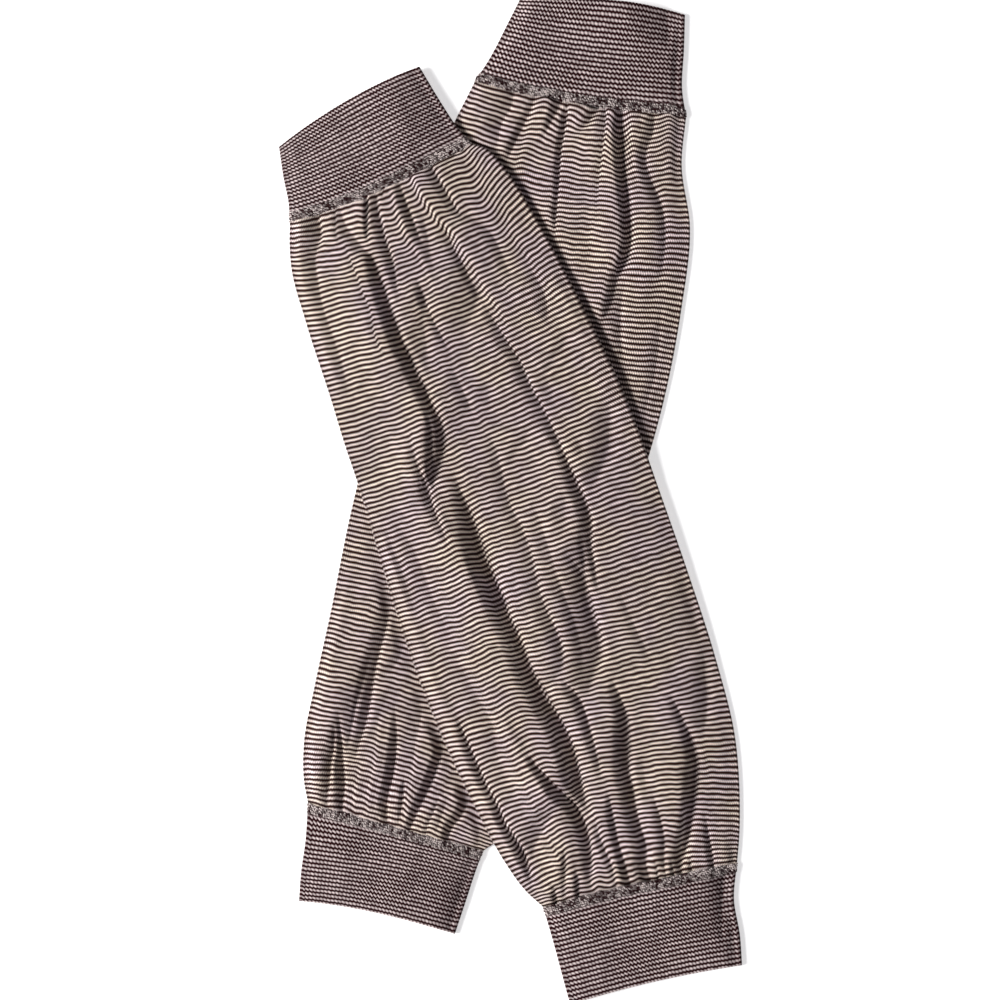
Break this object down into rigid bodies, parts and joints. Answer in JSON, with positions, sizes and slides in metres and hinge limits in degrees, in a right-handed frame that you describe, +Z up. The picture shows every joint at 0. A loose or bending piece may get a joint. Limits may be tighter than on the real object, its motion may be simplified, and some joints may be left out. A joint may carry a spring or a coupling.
{
  "type": "pair of arm sleeves",
  "caption": "Arm sleeves of fine striped knit with ribbed cuffs, a pair laid flat with one crossed over the other.",
  "frame": {"origin": "centre of the pair's bounding box in plan, on the surface that the pair lies on", "axes": "+Z up from the surface, +Y along the pair's length towards the upper cuffs, +X to the right seen from above"},
  "size_m": [0.2408, 0.5236, 0.0085],
  "materials": {
    "striped_knit": "fine jersey knit in narrow dark brown and pinkish beige stripes, matt",
    "ribbed_knit": "close rib knit, dark brown flecked with pinkish beige, matt"
  },
  "bodies": {
    "root": {"front_sleeve_body": "striped_knit", "front_sleeve_upper_cuff": "ribbed_knit", "front_sleeve_lower_cuff": "ribbed_knit", "back_sleeve_body": "striped_knit", "back_sleeve_upper_cuff": "ribbed_knit", "back_sleeve_lower_cuff": "ribbed_knit"}
  },
  "joints": []
}
